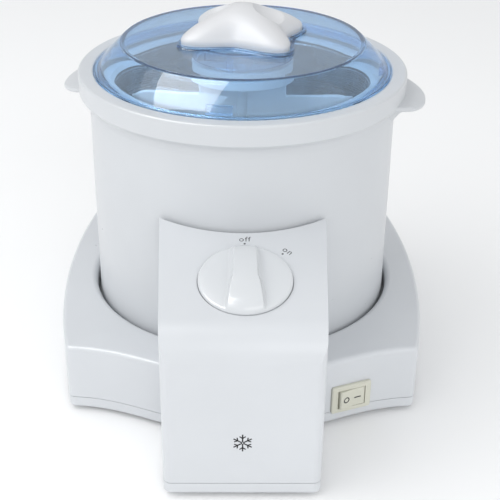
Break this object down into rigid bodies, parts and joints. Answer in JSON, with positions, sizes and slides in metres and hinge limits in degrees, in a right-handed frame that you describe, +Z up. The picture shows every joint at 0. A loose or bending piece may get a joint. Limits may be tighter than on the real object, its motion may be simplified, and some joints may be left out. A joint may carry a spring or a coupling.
{
  "type": "ice cream maker",
  "caption": "Motor base with front dial and rocker switch, an eared outer drum, a turning freezer bowl, a fixed paddle, a tinted lid and a lobed filler cap.",
  "frame": {"origin": "on the floor plane under the middle of the whole object's box; the drum's upright axis is 23.15 mm behind it", "axes": "+Z up, -Y the front with the dial, +X to the right seen from the front"},
  "size_m": [0.1896, 0.2402, 0.1846],
  "materials": {
    "housing_white": "fine satin-gloss moulded plastic",
    "drum_white": "fine satin-gloss moulded plastic",
    "dial_white": "glossy moulded plastic",
    "cap_white": "glossy moulded plastic",
    "rim_white": "moulded plastic",
    "paddle_white": "moulded plastic",
    "lid_blue": "clear tinted plastic",
    "ivory": "moulded plastic",
    "liner_aluminium": "hard anodised, dull",
    "gel": "sealed coolant gel",
    "rubber": "moulded rubber",
    "black_rubber": "moulded rubber",
    "steel": "zinc plated",
    "iron": "stacked laminations",
    "brass": "turned",
    "black_plastic": "glass-filled plastic",
    "nylon": "natural nylon",
    "lead_brown": "insulated lead",
    "lead_blue": "insulated lead"
  },
  "bodies": {
    "base": {"base_housing": "housing_white", "base_screws": "steel", "bottom_cover": "housing_white", "bracket_screws": "steel", "console_cover": "housing_white", "console_screws": "steel", "cord_gland": "black_rubber", "feed_lead": "lead_brown", "gear_tray": "black_plastic", "idler_axle_a": "steel", "idler_axle_b": "steel", "motor_bracket": "steel", "motor_can": "steel", "motor_end_cap": "black_plastic", "motor_lead": "lead_brown", "motor_screws": "steel", "motor_stator": "iron", "return_lead": "lead_blue", "rocker_housing": "ivory", "rocker_pin": "steel", "rocker_terminals": "brass", "rotary_nut": "steel", "rotary_switch": "black_plastic", "rubber_feet": "rubber", "spindle_bush": "brass", "switch_lead": "lead_brown", "terminal_block": "nylon", "terminal_screws": "brass", "tray_screws": "steel"},
    "dial": {"control_dial": "dial_white", "dial_shaft": "steel"},
    "rocker": {"rocker_key": "ivory"},
    "motor_shaft": {"motor_rotor": "steel", "motor_pinion": "brass"},
    "idler_a": {"idler_gear_a": "nylon"},
    "idler_b": {"idler_gear_b": "nylon"},
    "drive": {"drive_gear": "nylon", "drive_spindle": "steel", "shaft_seal": "rubber", "drive_coupling": "nylon", "retaining_clip": "steel"},
    "drum": {"outer_drum": "drum_white"},
    "bowl": {"bowl_shell": "rim_white", "bowl_liner": "liner_aluminium", "coolant_gel": "gel", "bowl_rim": "rim_white", "drive_socket": "nylon"},
    "lid": {"lid": "lid_blue"},
    "paddle": {"paddle": "paddle_white"},
    "cap": {"lid_cap": "cap_white"}
  },
  "joints": [
    {"name": "dial_turn", "type": "hinge", "parent": "base", "child": "dial", "pos_m": [0.001, -0.08555, 0.0927], "axis": [0, 0.2402, -0.9707], "range_deg": [0, 45]},
    {"name": "rocker_tip", "type": "hinge", "parent": "base", "child": "rocker", "pos_m": [0.05267, -0.06356, 0.015], "axis": [0, 0, -1], "range_deg": [0, 12]},
    {"name": "drive_spin", "type": "hinge", "parent": "base", "child": "drive", "pos_m": [0, 0.02315, 0.02], "axis": [0, 0, 1], "continuous": true},
    {"name": "idler_b_spin", "type": "hinge", "parent": "base", "child": "idler_b", "pos_m": [0, -0.0356, 0.015], "axis": [0, 0, 1], "continuous": true},
    {"name": "idler_a_spin", "type": "hinge", "parent": "base", "child": "idler_a", "pos_m": [0, -0.0631, 0.012], "axis": [0, 0, 1], "continuous": true},
    {"name": "motor_spin", "type": "hinge", "parent": "base", "child": "motor_shaft", "pos_m": [0, -0.09185, 0.03], "axis": [0, 0, 1], "continuous": true},
    {"name": "drum_lift", "type": "slide", "parent": "base", "child": "drum", "axis": [0, 0, 1], "range_m": [0, 0.12]},
    {"name": "bowl_spin", "type": "hinge", "parent": "drum", "child": "bowl", "pos_m": [0, 0.02315, 0.06], "axis": [0, 0, 1], "continuous": true},
    {"name": "lid_lift", "type": "slide", "parent": "drum", "child": "lid", "axis": [0, 0, 1], "range_m": [0, 0.12]},
    {"name": "cap_lift", "type": "slide", "parent": "lid", "child": "cap", "axis": [0, 0, 1], "range_m": [0, 0.05]},
    {"name": "paddle_float", "type": "slide", "parent": "lid", "child": "paddle", "axis": [0, 0, 1], "range_m": [0, 0.0015]}
  ],
  "couplings": [
    {"joint": "drive_spin", "follows": "bowl_spin", "ratio": 1},
    {"joint": "idler_b_spin", "follows": "bowl_spin", "ratio": -5.7143},
    {"joint": "idler_a_spin", "follows": "bowl_spin", "ratio": 15.238},
    {"joint": "motor_spin", "follows": "bowl_spin", "ratio": -43.175}
  ]
}
